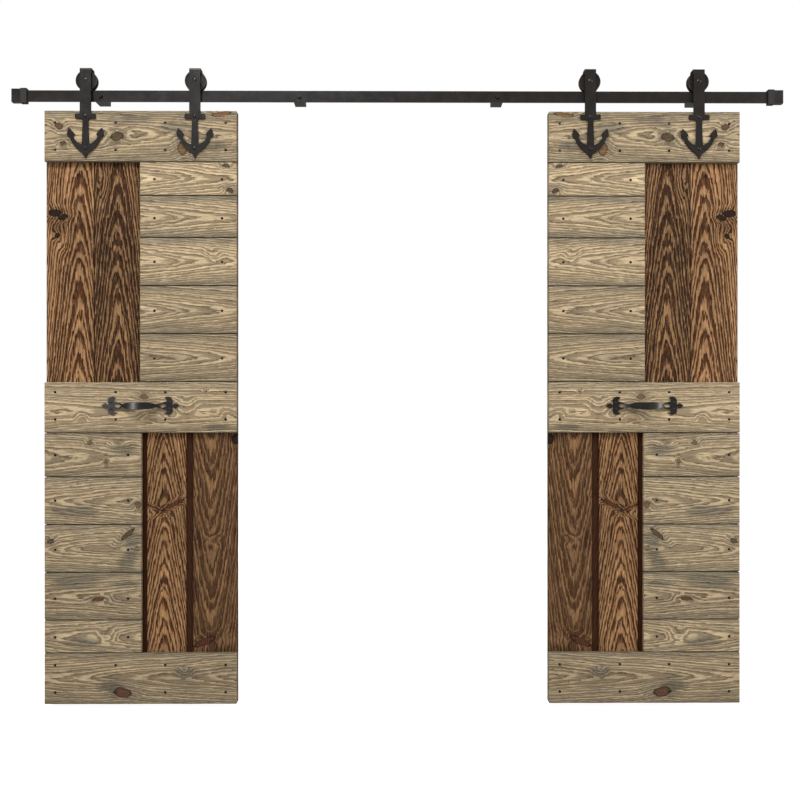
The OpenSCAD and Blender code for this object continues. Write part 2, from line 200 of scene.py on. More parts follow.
DARK_KNOTS = {
    "dark": [(30, 364, 22, 13, 0), (60, 379, 17, 10, -20), (40, 446, 9, 9, 0), (685, 1182, 16, 17, 0)],
    "curl": [(606, 1545, 15, 9, 0), (62, 462, 10, 22, 0), (205, 250, 9, 26, 0)],
    "leaf": [(572, 1915, 42, 11, -24), (391, 1430, 27, 3.5, 24), (457, 1419, 46, 6.5, -27)],
}
DARK_SMUDGES = [(540, 1545, 20, 55, 0), (544, 1718, 22, 46, 0), (640, 1960, 60, 30, -20),
                (40, 395, 50, 60, 0), (190, 470, 24, 90, 0)]
CRACK = [(419, 1340, 1.3, 160, 0)]  # a split along the grain, listed like a knot
SWELL_REACH = 3.4  # how far out a knot bends the grain, in radii of the knot
SWELL_HEART = 0.3  # where the bend is at its fullest
NO_KNOT = 99.0  # further away than any knot


def nearest_knot(x, depth, knots):
    """How far points of a door (metres) are from the nearest knot, as a share of the knot's size."""
    best = np.full(x.shape, NO_KNOT)
    for kx, kd, half_x, half_d, turn in knots:
        angle = math.radians(turn)
        dx, dd = x - kx * MM, depth - kd * MM
        along = (math.cos(angle) * dx + math.sin(angle) * dd) / (half_x * MM)
        aside = (math.cos(angle) * dd - math.sin(angle) * dx) / (half_d * MM)
        best = np.minimum(best, np.hypot(along, aside))
    return best


def knot_nodes(shader, place, knots):
    """The same distance as a node tree: 0 at a knot's heart and 1 at its rim."""
    best = None
    for kx, kd, half_x, half_d, turn in knots:
        given = {
            "Vector": place,
            "Location": (kx * MM, kd * MM, 0),
            "Rotation": (0, 0, math.radians(turn)),
            "Scale": (half_x * MM, half_d * MM, 1),
        }
        local = shader.add("Mapping", given, vector_type="TEXTURE").outputs["Vector"]
        reach = shader.vector("LENGTH", local)
        best = reach if best is None else shader.math("MINIMUM", best, reach)
    return best


# ---------------------------------------------------------------- wood

# Each palette: early wood, late wood and the dark crease at the end of a growth ring
LIGHT_TONES = (tone(208, 184, 146), tone(158, 138, 109), tone(100, 83, 61))
GREY_TONES = (tone(170, 157, 132), tone(134, 121, 98), tone(86, 72, 54))
BROWN_TONES = (tone(178, 134, 92), tone(90, 54, 30), tone(42, 23, 9))
SOOT_TONES = (tone(152, 114, 78), tone(63, 40, 22), tone(32, 18, 8))
KNOT_TONES = {  # a knot's inner rings, outer rings and rim
    "red": (tone(136, 96, 70), tone(108, 72, 52), tone(66, 50, 38)),
    "orange": (tone(166, 130, 88), tone(136, 101, 66), tone(74, 57, 41)),
    "brown": (tone(126, 103, 76), tone(98, 79, 56), tone(58, 48, 36)),
    "dark": (tone(64, 46, 36), tone(46, 33, 26), tone(28, 20, 16)),
    "leaf": (tone(122, 78, 54), tone(96, 58, 40), tone(40, 26, 20)),
}
BRUSHED = tone(198, 172, 142)  # raised fibres of the dark boards, where the stain is brushed thin
JOINT_SHADE_TONE = tone(63, 34, 19)  # painted shade: a dark brown laid over the walls and floors of the recessed channels

# Streaks in the wood: scales along the grain and twice across it, then detail and roughness
FLAMES = ((12, 90, 90), 4.0, 0.62)  # the long tongues of the growth rings
RAGS = ((27, 215, 215), 3.0, 0.65)  # the rings' ragged rims
FINE = ((26, 250, 250), 5.0, 0.72)  # brushed fibres
BROAD = ((8, 110, 110), 4.0, 0.62)  # wide streaks
CLOUDS = ((5, 22, 22), 2.0, 0.55)  # weathering

YEARS = {"Scale": 38.0, "Detail": 1.0}  # noise of good and bad years, from the pith outwards
YEAR_SHIFT = 16 * MM  # how far the noise moves a ring
FLAME_SHIFT, RAG_SHIFT = 1.1, 1.0  # how far the streaks move it, in rings
RING_LEAN = (0.6, 1.6)  # a ring's early wood is narrow at the first power and wide at the second

RING_RISE = 0.07  # shares of a ring: from the last crease to full early wood
RING_BLUR = 0.1  # half of the way from early wood to late wood
CREASE_START, CREASE_FULL = 0.86, 0.99
CREASE_DARK = 0.75  # how much of the crease's tone it takes

EDGE_RAGS = {"Scale": 85.0, "Detail": 3.0}  # they make the outlines of knots uneven
EDGE_SHIFT = 12 * MM

# Places in and around a knot, from 0 at its heart to 1 at its rim
KNOT_RIM = (0.74, 0.96)  # where its dark rim begins and is full
KNOT_OUTLINE = (1.12, 0.98)  # where it begins to cover the board and does so wholly
HALO = (2.3, 1.1)  # where the darker rings around it begin and are strongest
HEART_RINGS = 21.0  # a knot's own rings, in radians from its heart to its rim
HEART_WOBBLE = 5.0  # how far the fibres move them, in radians
HALO_RINGS = 13.0  # the rings around it, counted the same way
KNOT_SWELL = {"light": 22 * MM, "dark": 26 * MM}  # how far a knot moves the rings around it
SMUDGE_CLOUD = 1.5  # how uneven the outline of a smudge is, in half widths
SMUDGE_FADE = (2.0, 1.1)  # where a smudge begins and is full, clouds added
CRACK_FADE = (1.6, 0.6)
BAND_CLOUD = 56 * MM  # how uneven the grey band along an edge is
BAND_FADE = (60 * MM, 32 * MM)  # where it begins and is full, clouds added


def growth_rings(shader, knot_reach, swell):
    """Where a point lies within its growth ring, from 0 to 1, and how light that ring is."""
    log = shader.attribute("log")
    _, drift, _ = shader.parts(shader.attribute("board"))
    _, _, rings = shader.parts(shader.attribute("tint"))
    tight, _, _ = shader.parts(shader.attribute("cut"))
    radius = shader.vector("LENGTH", shader.vector("MULTIPLY", log, (0, 1, 1)))
    radius = shader.math("MULTIPLY_ADD", shader.math("MULTIPLY", radius, radius), tight, radius)
    bend = shader.spread(knot_reach, SWELL_REACH, SWELL_HEART, 0.0, swell)
    radius = shader.math("ADD", shader.math("ADD", radius, drift), bend)
    years = shader.add("TexNoise", {"W": radius, **YEARS}, noise_dimensions="1D")
    radius = shader.math("MULTIPLY_ADD", years.outputs["Fac"], YEAR_SHIFT, radius)
    flames = shader.streaks(log, *FLAMES)
    ragged = shader.streaks(log, *RAGS)
    phase = shader.math("MULTIPLY_ADD", flames, FLAME_SHIFT, shader.math("MULTIPLY", radius, rings))
    phase = shader.math("MULTIPLY_ADD", ragged, RAG_SHIFT, phase)
    random = shader.add("TexWhiteNoise", {"W": shader.math("FLOOR", phase)}, noise_dimensions="1D")
    lean = shader.spread(shader.parts(random.outputs["Color"])[1], 0.0, 1.0, *RING_LEAN)
    return shader.math("POWER", shader.math("FRACT", phase), lean), random.outputs["Value"]


def fibres(shader):
    """Streaks that run with the grain: fine ones, and broad ones."""
    log = shader.attribute("log")
    return shader.streaks(log, *FINE), shader.streaks(log, *BROAD)


def ring_colour(shader, ring, worn, first, second):
    """A ring's colour, and how high it stands.

    Each ring is early wood, then late wood that ends in a dark crease. worn mixes the first palette
    with the second.
    """
    _, split, contrast = shader.parts(shader.attribute("cut"))
    early, late, crease = (shader.mix(worn, a, b) for a, b in zip(first, second))
    rise = shader.spread(ring, 0.0, RING_RISE)
    late_from, early_to = (shader.math(way, split, RING_BLUR) for way in ("ADD", "SUBTRACT"))
    share = shader.math("MULTIPLY", rise, shader.spread(ring, late_from, early_to))
    shown = shader.math("MULTIPLY_ADD", shader.math("SUBTRACT", share, 0.5), contrast, 0.5)
    dark = shader.math("MULTIPLY", shader.spread(ring, CREASE_START, CREASE_FULL), contrast)
    wood = shader.mix(shown, late, early)
    colour = shader.mix(shader.math("MULTIPLY", dark, CREASE_DARK), wood, crease)
    return colour, shader.math("SUBTRACT", share, dark)


def ragged_place(shader):
    """Places on the door, a little ragged, so that knots have uneven outlines."""
    place = shader.vector("MULTIPLY", shader.attribute("door"), (1, 1, 0))
    wave = shader.add("TexNoise", {"Vector": place, **EDGE_RAGS}).outputs["Color"]
    wave = shader.vector("SUBTRACT", wave, (0.5, 0.5, 0.5))
    return shader.vector("ADD", place, shader.vector("MULTIPLY", wave, (EDGE_SHIFT, EDGE_SHIFT, 0)))


def knot_hearts(shader, colour, look, reach, fine):
    """Paints knots over a board's colour: rings inside a dark rim, and rings that fade around it."""
    inner, outer, rim = KNOT_TONES[look]
    turns = shader.math("MULTIPLY", reach, HEART_RINGS)
    turns = shader.math("MULTIPLY_ADD", fine, HEART_WOBBLE, turns)
    heart = shader.mix(shader.spread(shader.math("SINE", turns), -1.0, 1.0), inner, outer)
    heart = shader.mix(shader.spread(fine, 0.62, 0.36, 0.0, 0.5), heart, rim)
    heart = shader.mix(shader.spread(reach, *KNOT_RIM, 0.0, 0.92), heart, rim)
    painted = shader.mix(shader.spread(reach, *KNOT_OUTLINE), colour, heart)
    lines = shader.math("SINE", shader.math("MULTIPLY", reach, HALO_RINGS))
    lines = shader.spread(lines, 0.0, 1.0, 0.25, 1.0)
    around = shader.math("MULTIPLY", lines, shader.spread(reach, *HALO, 0.0, 0.5))
    return shader.mix(around, painted, shader.mix(0.55, painted, rim))


def light_wood():
    """Pale brushed softwood with grey weathering along its edges and around its knots."""
    s = Shader("light_wood")
    edge, _, _ = s.parts(s.attribute("board"))
    light, grey, _ = s.parts(s.attribute("tint"))
    place = ragged_place(s)
    reach = {kind: knot_nodes(s, place, knots) for kind, knots in LIGHT_KNOTS.items()}
    hearts = s.chain("MINIMUM", reach["red"], reach["orange"], reach["brown"])
    ring, shade = growth_rings(s, s.math("MINIMUM", hearts, reach["curl"]), KNOT_SWELL["light"])
    fine, broad = fibres(s)

    # Grey weathering: bands along the edges, patches, smoke around the knots, and smudges
    cloud = s.streaks(s.attribute("log"), *CLOUDS)
    along_edge = s.math("MULTIPLY_ADD", cloud, BAND_CLOUD, edge)
    bands = s.math("MULTIPLY", s.spread(along_edge, *BAND_FADE), grey)
    patches = s.spread(cloud, 0.54, 0.74, 0.0, 0.7)
    smoke = s.math("MULTIPLY", s.spread(hearts, 4.6, 1.0, 0.0, 0.9), cloud)
    cloudy = s.math("MULTIPLY_ADD", cloud, SMUDGE_CLOUD, knot_nodes(s, place, LIGHT_SMUDGES))
    smudge = s.spread(cloudy, *SMUDGE_FADE)
    weather = s.chain("MAXIMUM", bands, patches, smoke, smudge)
    colour, relief = ring_colour(s, ring, weather, LIGHT_TONES, GREY_TONES)

    ring_level = s.spread(shade, 0.0, 1.0, 0.9, 1.1)
    fine_level = s.spread(fine, 0.28, 0.72, 0.74, 1.22)
    broad_level = s.spread(broad, 0.25, 0.75, 0.84, 1.12)
    # Painted shade: darker within 3 mm of the face's long edges, along the seams
    edge_shade_level = s.spread(edge, 0.0, 3.0 * MM, 0.62, 1.0)
    smudge_level = s.spread(smudge, 0.0, 1.0, 1.03, 0.84)
    level = s.chain("MULTIPLY", ring_level, fine_level, light, broad_level, edge_shade_level, smudge_level)
    colour = s.scaled(colour, level)
    for look in ("red", "orange", "brown"):
        colour = knot_hearts(s, colour, look, reach[look], fine)

    height = s.math("MULTIPLY_ADD", fine, 0.9, relief)
    height = s.math("SUBTRACT", height, s.spread(hearts, 0.16, 0.0, 0.0, 0.8))
    return s.finish(
        Base_Color=colour,
        Roughness=s.spread(fine, 0.2, 0.8, 0.7, 0.85),
        Specular_IOR_Level=0.2,
        Normal=s.bump(height, 1.2 * MM, 0.9),
    )


def dark_wood():
    """Brown stained, brushed softwood that shows between the light boards and all over the back."""
    s = Shader("dark_wood")
    edge, _, recess_shade = s.parts(s.attribute("board"))
    light, soot, _ = s.parts(s.attribute("tint"))
    place = ragged_place(s)
    crack = knot_nodes(s, place, CRACK)
    reach = {kind: knot_nodes(s, place, knots) for kind, knots in DARK_KNOTS.items()}
    ring, shade = growth_rings(s, s.chain("MINIMUM", *reach.values()), KNOT_SWELL["dark"])
    fine, broad = fibres(s)

    sooty = s.math("MULTIPLY", s.spread(broad, 0.3, 0.7, 1.5, 0.5), soot)
    colour, relief = ring_colour(s, ring, sooty, BROWN_TONES, SOOT_TONES)

    cloudy = s.math("MULTIPLY_ADD", broad, SMUDGE_CLOUD, knot_nodes(s, place, DARK_SMUDGES))
    ring_level = s.spread(shade, 0.0, 1.0, 0.86, 1.14)
    fine_level = s.spread(fine, 0.3, 0.7, 0.62, 1.28)
    broad_level = s.spread(broad, 0.25, 0.75, 0.8, 1.14)
    # Painted shade: darker within 4 mm of the face's long edges, and over the whole tongue in the
    # channels
    edge_shade_level = s.spread(edge, 0.0, 4.0 * MM, 0.5, 1.0)
    crack_level = s.spread(crack, *CRACK_FADE, 1.0, 0.4)
    smudge_level = s.spread(cloudy, *SMUDGE_FADE, 1.0, 0.62)
    level = s.chain("MULTIPLY", ring_level, fine_level, light, broad_level, edge_shade_level, crack_level)
    colour = s.scaled(colour, s.math("MULTIPLY", level, smudge_level))
    colour = s.mix(s.spread(fine, 0.5, 0.74, 0.0, 0.36), colour, BRUSHED)
    # Painted shade: the channels between the back boards are darkened to a dark brown
    colour = s.mix(s.spread(recess_shade, 0.1, 0.7, 0.0, 0.9), colour, JOINT_SHADE_TONE)
    for look in ("dark", "leaf"):
        colour = knot_hearts(s, colour, look, reach[look], fine)

    height = s.math("MULTIPLY_ADD", fine, 0.9, relief)
    height = s.math("SUBTRACT", height, s.spread(crack, *CRACK_FADE))
    return s.finish(
        Base_Color=colour,
        Roughness=s.spread(fine, 0.2, 0.8, 0.6, 0.8),
        Specular_IOR_Level=0.08,
        Normal=s.bump(height, 1.4 * MM, 0.9),
    )


# ---------------------------------------------------------------- metal and rubber

CLOUD_LIGHTER = 1.35  # how much lighter the paint is at the light end of its clouds
TURNING = ((30, 2600, 30), 2.0, 0.5)  # streaks that run around an axis along Y


def painted_metal(name, colour, worn, metallic, roughness, gloss, peel_scale=900.0, peel_depth=0.05):
    """Painted or forged metal: clouds, rubbed patches, and orange peel that is peel_depth (mm) deep."""
    s = Shader(name)
    place = s.place()
    cloud = s.noise(place, 24.0, 4.0, 0.6)
    peel = s.noise(place, peel_scale, 2.0, 0.5)
    rubbed = s.spread(s.noise(place, 70.0, 5.0, 0.7), 0.56, 0.78, 0.0, 0.6)
    lighter = (*(channel * CLOUD_LIGHTER for channel in colour[:3]), 1.0)
    shade = s.mix(s.spread(cloud, 0.3, 0.7), colour, lighter)
    return s.finish(
        Base_Color=s.mix(rubbed, shade, worn),
        Metallic=metallic,
        Specular_IOR_Level=gloss,
        Roughness=s.spread(s.math("ADD", cloud, rubbed), 0.3, 1.1, roughness - 0.06, roughness + 0.1),
        Normal=s.bump(s.math("ADD", peel, s.math("MULTIPLY", cloud, 1.5)), peel_depth * MM, 0.7),
    )


def turned_steel(name):
    """Bright turned steel, with fine lines around the wheel's axis."""
    s = Shader(name)
    lines = s.streaks(s.place(), *TURNING)
    return s.finish(
        Base_Color=s.mix(lines, tone(120, 122, 126), tone(176, 178, 182)),
        Metallic=0.95,
        Roughness=s.spread(lines, 0.2, 0.8, 0.22, 0.38),
        Normal=s.bump(lines, 0.02 * MM, 0.5),
    )


def rubber(name):
    """Moulded black rubber with a dusty, dull skin."""
    s = Shader(name)
    place = s.place()
    dust = s.noise(place, 60.0, 5.0, 0.65)
    skin = s.noise(place, 1400.0, 2.0, 0.5)
    return s.finish(
        Base_Color=s.mix(s.spread(dust, 0.45, 0.8), tone(27, 25, 23), tone(42, 39, 36)),
        Roughness=s.spread(dust, 0.3, 0.8, 0.7, 0.85),
        Normal=s.bump(skin, 0.06 * MM, 0.6),
    )


# ---------------------------------------------------------------- boards

FRONT_STEP = 3 * MM  # between points across the grain, on the face
BACK_STEP = 7 * MM  # the same on the sides and the back
CORNER_STEPS = 3
TONGUE_THICK = 5 * MM
SAME_PLACE = 1e-6  # points closer than this are one
EDGE_WAVE = 0.6 * MM  # about how far the long edges wander inwards
EDGE_LONG, EDGE_WIDE = 0.16, 0.5  # about how long and wide those waves are, in metres
RING_LONG, RING_WIDE = 0.30, 0.11  # the same for the waves that move the growth rings
WAVE_LONG, WAVE_WIDE = (0.4, 1.5), (-1.2, 1.2)  # waves in one such length and one such width
WAVE_GAIN = 1.6  # brings the mean of the waves near -1 and 1 at its extremes
RELIEF = 0.16 * MM  # the height of the hard wood that brushing leaves
RIDGE_AT = 0.3  # where in a growth ring it stands highest
LOG_APART = 9  # metres of log, along which each board takes its grain from a place of its own
SHARP_ANGLE = math.radians(50)


def seeded(name):
    """Random numbers that are the same for this board on every run and on both doors."""
    return np.random.default_rng(sum(ord(c) * (i + 7) for i, c in enumerate(name)))


def waves(random, u, v, long, wide, count=6):
    """A smooth uneven surface, nearly all from -1 to 1, with waves about this long and this wide."""
    total = np.zeros(np.broadcast(u, v).shape)
    for _ in range(count):
        ku = 2 * math.pi / long * random.uniform(*WAVE_LONG)
        kv = 2 * math.pi / wide * random.uniform(*WAVE_WIDE)
        total += np.sin(ku * u + kv * v + random.uniform(0, 2 * math.pi))
    return total / count * WAVE_GAIN


def straight(start, end, step):
    """Points from start up to but not including end, about a step apart."""
    count = max(1, round(math.dist(start, end) / step))
    return [tuple(a + (b - a) * i / count for a, b in zip(start, end)) for i in range(count)]


def corner(centre, radius, start):
    """A quarter of a circle, from this angle in degrees."""
    angles = [math.radians(start + 90 * i / CORNER_STEPS) for i in range(CORNER_STEPS)]
    return [(centre[0] + radius * math.cos(a), centre[1] + radius * math.sin(a)) for a in angles]


def board_outline(width, thick, ease, tongue=0.0, groove=0.0):
    """A board's cross-section: (across, depth) points round it, the front face at depth 0."""
    low, high = thick / 2 - TONGUE_THICK / 2, thick / 2 + TONGUE_THICK / 2
    points = corner((ease, ease), ease, 180)
    points += straight((ease, 0), (width - ease, 0), FRONT_STEP)
    points += corner((width - ease, ease), ease, 270)
    points += straight((width, ease), (width, low), BACK_STEP)
    if tongue:
        points += [(width, low), (width + tongue, low), (width + tongue, high), (width, high)]
    points += straight((width, high), (width, thick - ease), BACK_STEP)
    points += corner((width - ease, thick - ease), ease, 0)
    points += straight((width - ease, thick), (ease, thick), BACK_STEP)
    points += corner((ease, thick - ease), ease, 90)
    points += straight((0, thick - ease), (0, high), BACK_STEP)
    if groove:
        points += [(0, high), (groove, high), (groove, low), (0, low)]
    points += straight((0, low), (0, ease), BACK_STEP)
    return np.array([p for i, p in enumerate(points) if math.dist(p, points[i - 1]) > SAME_PLACE])


def inward(outline):
    """The direction into the board at each point of its outline."""
    ahead = np.roll(outline, -1, axis=0) - outline
    behind = outline - np.roll(outline, 1, axis=0)
    ahead /= np.linalg.norm(ahead, axis=1)[:, None]
    behind /= np.linalg.norm(behind, axis=1)[:, None]
    along = ahead + behind
    normal = np.stack([-along[:, 1], along[:, 0]], axis=1)
    return normal / np.linalg.norm(normal, axis=1)[:, None]


def stations(length, step, ease):
    """Places along the grain, with a few close together at each eased end."""
    near = [0.0, 0.25 * ease, 0.6 * ease, ease]
    middle = np.linspace(ease, length - ease, max(2, round(length / step)))[1:-1]
    return np.array(near + list(middle) + [length - x for x in reversed(near)])


def smooth(value):
    """Eases a value's way from 0 to 1."""
    return value**2 * (3 - 2 * value)


def eased_ends(run, ease):
    """How far a board's outline draws in at this distance from its nearer end: a quarter round."""
    round_off = ease - np.sqrt(np.maximum(ease**2 - (ease - run) ** 2, 0))
    return np.where(run < ease, round_off, 0.0)


def grid_faces(index, flipped):
    """Faces over rings of points, the rows of index: quads between rings, and one cap at each end."""
    ahead = np.roll(index, -1, axis=1)
    quads = np.stack([index[:-1], index[1:], ahead[1:], ahead[:-1]], axis=-1).reshape(-1, 4)
    faces = quads.tolist() + [index[0].tolist(), index[-1][::-1].tolist()]
    return [face[::-1] for face in faces] if flipped else faces


def add_attribute(mesh, name, *values):
    """Gives each vertex three values for the shaders to read."""
    attribute = mesh.attributes.new(name, "FLOAT_VECTOR", "POINT")
    stacked = np.stack([np.asarray(v, np.float32) for v in values], axis=-1)
    attribute.data.foreach_set("vector", np.ascontiguousarray(stacked).ravel())


def make_board(side, name, cut, kind, outline, face, joints=(False, False)):
    """Builds one board in place of its CAD node.

    cut says how the board was sawn from its log (see figure), and kind holds what its layer shares.
    face is the width of its front face, beyond which only its tongue stands. joints tells which of
    its two long sides lie in a joint, whose channel gets painted shade, first the side nearer the
    door's outer edge. Points are placed by u along the board, v across it and w into it from its
    face.
    """
    node = f"{side}_{name}"
    lo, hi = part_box(node)
    sign, outer, upright, ease = MIRROR[side], OUTER_EDGE[side], kind["upright"], kind["ease"]
    x_start = min(abs(lo.x - outer), abs(hi.x - outer))
    d_start = DOOR_TOP - hi.z
    length = hi.z - lo.z if upright else hi.x - lo.x
    random = seeded(name)

    u = stations(length, kind["step"], ease)[:, None]
    normals = inward(outline)
    run = np.minimum(u, length - u)
    inset = eased_ends(run, ease)
    wave = EDGE_WAVE * (0.5 + 0.5 * waves(random, u, outline[:, 0], EDGE_LONG, EDGE_WIDE))
    v = outline[:, 0] + normals[:, 0] * (inset + np.clip(wave, 0, None) * normals[:, 0] ** 2)
    w = outline[:, 1] + normals[:, 1] * inset
    u = np.broadcast_to(u, v.shape).copy()

    across = v - cut["axis"]
    pith = cut["pith"] + w
    drift = cut["slope"] * u + cut["wave"] * waves(random, u, v, RING_LONG, RING_WIDE)
    x = x_start + (v if upright else u)
    depth = d_start + (u if upright else v)
    from_reach = SWELL_REACH - nearest_knot(x, depth, kind["knots"])
    swell = smooth(np.clip(from_reach / (SWELL_REACH - SWELL_HEART), 0, 1))
    radius = np.hypot(across, pith)
    rings = radius + cut["tight"] * radius**2 + drift + kind["swell"] * swell
    ridge = np.cos(2 * math.pi * (rings / cut["ring"] - RIDGE_AT))
    # Only the face has relief, and it fades out towards the board's ends
    facing = (normals[:, 1] > 0.5) & (outline[:, 1] < ease * 0.2)
    w = w - RELIEF * ridge * facing * np.clip(run / (3 * ease), 0, 1)

    world = np.stack([outer + sign * x, kind["front"] + w, DOOR_TOP - depth], axis=-1)
    index = np.arange(v.size).reshape(v.shape)
    mesh = bpy.data.meshes.new(node + "_grain")
    mesh.from_pydata(world.reshape(-1, 3), [], grid_faces(index, flipped=(sign < 0) == upright))
    mesh.update()

    # The walls and tongue of a joint's channel, where dark_wood paints shade
    outer_side, inner_side = outline[:, 0] < ease, outline[:, 0] > face - ease
    shaded = (outer_side & joints[0] | inner_side & joints[1]) & (outline[:, 1] > ease)
    recess_shade = np.broadcast_to(shaded, v.shape)
    edge = np.clip(np.minimum(v, face - v), 0, None)
    full = np.ones(v.shape)
    add_attribute(mesh, "log", u + random.uniform(0, LOG_APART), across, pith)
    add_attribute(mesh, "door", x, depth, 0 * full)
    add_attribute(mesh, "board", edge, drift, recess_shade)
    add_attribute(mesh, "tint", cut["light"] * full, cut["grey"] * full, 1 / cut["ring"] * full)
    add_attribute(mesh, "cut", cut["tight"] * full, cut["split"] * full, cut["contrast"] * full)
    mesh.materials.append(kind["material"])
    mesh.shade_smooth()
    mesh.set_sharp_from_angle(angle=SHARP_ANGLE)
    board = bpy.data.objects.new(node + "_grain", mesh)
    bpy.context.scene.collection.objects.link(board)
    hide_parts(node)
    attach(board, BODY[side])


def figure(axis, pith, slope, ring, wave, light, grey, split=0.5, contrast=1.0, tight=5.0):
    """How a board was cut: the pith lies axis (mm) across the board and pith (mm) below its face.

    The rings pass along the board by slope, are ring (mm) apart and wave (mm) uneven, and tight (per
    metre) packs them away from the pith. light and grey tint the board, split is the early wood's
    share of a ring, and contrast says how strongly the rings show.
    """
    return {
        "axis": axis * MM, "pith": pith * MM, "slope": slope, "ring": ring * MM, "wave": wave * MM,
        "light": light, "grey": grey, "split": split, "contrast": contrast, "tight": tight,
    }


# How each light board was cut. A positive slope points the grain's tips to the door's inner edge.
LIGHT_FIGURES = {
    "top_rail": figure(88, 26, 0.085, 13, 4.5, 0.9, 0.7),
    "middle_rail": figure(104, 30, 0.05, 12, 4.5, 1.06, 0.5),
    "bottom_rail": figure(88, 16, -0.10, 12, 3.5, 0.86, 0.6),
    "upper_board_1": figure(58, 13, 0.13, 13, 2.6, 1.08, 0.1),
    "upper_board_2": figure(79, 13, 0.12, 13, 2.6, 0.98, 1.0),
    "upper_board_3": figure(84, 13, 0.13, 13, 3.2, 1.04, 0.8),
    "upper_board_4": figure(90, 14, 0.12, 12, 3.2, 0.95, 0.7),
    "upper_board_5": figure(84, 16, 0.11, 12, 3.4, 0.92, 0.7),
    "lower_board_1": figure(86, 30, 0.11, 14, 5.0, 0.93, 0.6),
    "lower_board_2": figure(86, 12, -0.12, 13, 3.0, 0.95, 0.7),
    "lower_board_3": figure(86, 12, -0.11, 12, 3.4, 0.96, 0.7),
    "lower_board_4": figure(86, 14, -0.10, 12, 3.2, 0.88, 0.8),
    "lower_board_5": figure(60, 20, -0.11, 12, 5.0, 0.98, 0.3),
}
# The dark boards run up and down: a negative slope points the tips upwards. grey here is soot.
DARK_FIGURES = {
    "back_board_1": figure(120, 26, -0.18, 15, 5.0, 1.02, 0.05, 0.54, 1.2, 4.0),
    "back_board_2": figure(84, 20, -0.19, 16, 4.5, 0.94, 0.75, 0.4, 1.25, 5.0),
    "back_board_3": figure(62, 15, -0.24, 13, 2.6, 1.0, 0.1, 0.56, 0.95, 3.0),
    "back_board_4": figure(66, 12, 0.33, 26, 8.0, 0.76, 0.25, 0.5, 0.65, 10.0),
}
TONGUE_IN = 6 * MM  # how far a tongue stands in the next board's groove
GROOVE_CLEAR = 0.2 * MM
JOINT_GAPS = (1 * MM, 18 * MM, 24 * MM)  # between each back board and the next


def light_boards():
    """The front layer: three rails across each door, and the short boards of its two halves."""
    kind = {
        "upright": False, "front": FRONT, "ease": 2 * MM, "step": 8 * MM, "swell": KNOT_SWELL["light"],
        "knots": [k for group in LIGHT_KNOTS.values() for k in group],
        "material": light_wood(), "slot": "light_wood",
    }
    for side in MIRROR:
        for name, cut in LIGHT_FIGURES.items():
            lo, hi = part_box(f"{side}_{name}")
            outline = board_outline(hi.z - lo.z, LAYER - FRONT, kind["ease"])
            make_board(side, name, cut, kind, outline, hi.z - lo.z)


def dark_boards():
    """The back layer: four full-height boards, each with a tongue in the next one's groove."""
    kind = {
        "upright": True, "front": LAYER, "ease": 1.5 * MM, "step": 11 * MM, "swell": KNOT_SWELL["dark"],
        "knots": [k for group in DARK_KNOTS.values() for k in group],
        "material": dark_wood(), "slot": "dark_wood",
    }
    tongues = [gap + TONGUE_IN for gap in JOINT_GAPS] + [0.0]
    grooves = [0.0] + [TONGUE_IN + GROOVE_CLEAR] * len(JOINT_GAPS)
    for side in MIRROR:
        for (name, cut), tongue, groove in zip(DARK_FIGURES.items(), tongues, grooves):
            lo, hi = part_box(f"{side}_{name}")
            face = hi.x - lo.x - tongue
            outline = board_outline(face, BACK - LAYER, kind["ease"], tongue, groove)
            make_board(side, name, cut, kind, outline, face, (groove > 0, tongue > 0))


# ---------------------------------------------------------------- steel and rubber pieces

SOFT_ANGLE = math.radians(40)  # sharper edges than this are softened


def finish_node(node, material, edge):
    """Gives a CAD node its finish, and softens its edges by this much (mm)."""
    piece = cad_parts[node]
    piece.data.materials.clear()
    piece.data.materials.append(material)
    if edge:
        soft = piece.modifiers.new("soft_edges", "BEVEL")
        soft.width = edge * MM
        soft.segments = 2
        soft.limit_method = "ANGLE"
        soft.angle_limit = SOFT_ANGLE
        soft.use_clamp_overlap = True
        soft.harden_normals = False


def steel_pieces():
    """The rail and all hardware, with the stops' rubber bumpers."""
    black = painted_metal("black_steel", tone(31, 27, 24), tone(44, 39, 35), 0.0, 0.34, 0.32)
    iron = painted_metal(
        "handle_iron", tone(48, 46, 45), tone(76, 74, 72), 0.75, 0.33, 0.5,
        peel_scale=420.0, peel_depth=0.12,
    )
    nail = painted_metal("nail_steel", tone(18, 17, 18), tone(34, 32, 32), 0.1, 0.3, 0.4)
    bright = turned_steel("bright_steel")
    soft = rubber("rubber")
    for node in ("rail", "spacers", "lag_bolts", "end_stops"):
        finish_node(node, black, 0.5)
    finish_node("stop_screws", bright, 0.0)
    finish_node("stop_bumpers", soft, 1.2)
    for side in MIRROR:
        finish_node(f"{side}_nails", nail, 0.0)
        finish_node(f"{side}_hanger_bolts", black, 0.0)
        finish_node(f"{side}_handle", iron, 0.7)
        finish_node(f"{side}_handle_screws", iron, 0.0)
        for i in (1, 2):
            finish_node(f"{side}_hanger_{i}", black, 0.6)
            finish_node(f"{side}_wheel_{i}", black, 0.4)
            finish_node(f"{side}_bearing_{i}", bright, 0.0)


# ---------------------------------------------------------------- studio

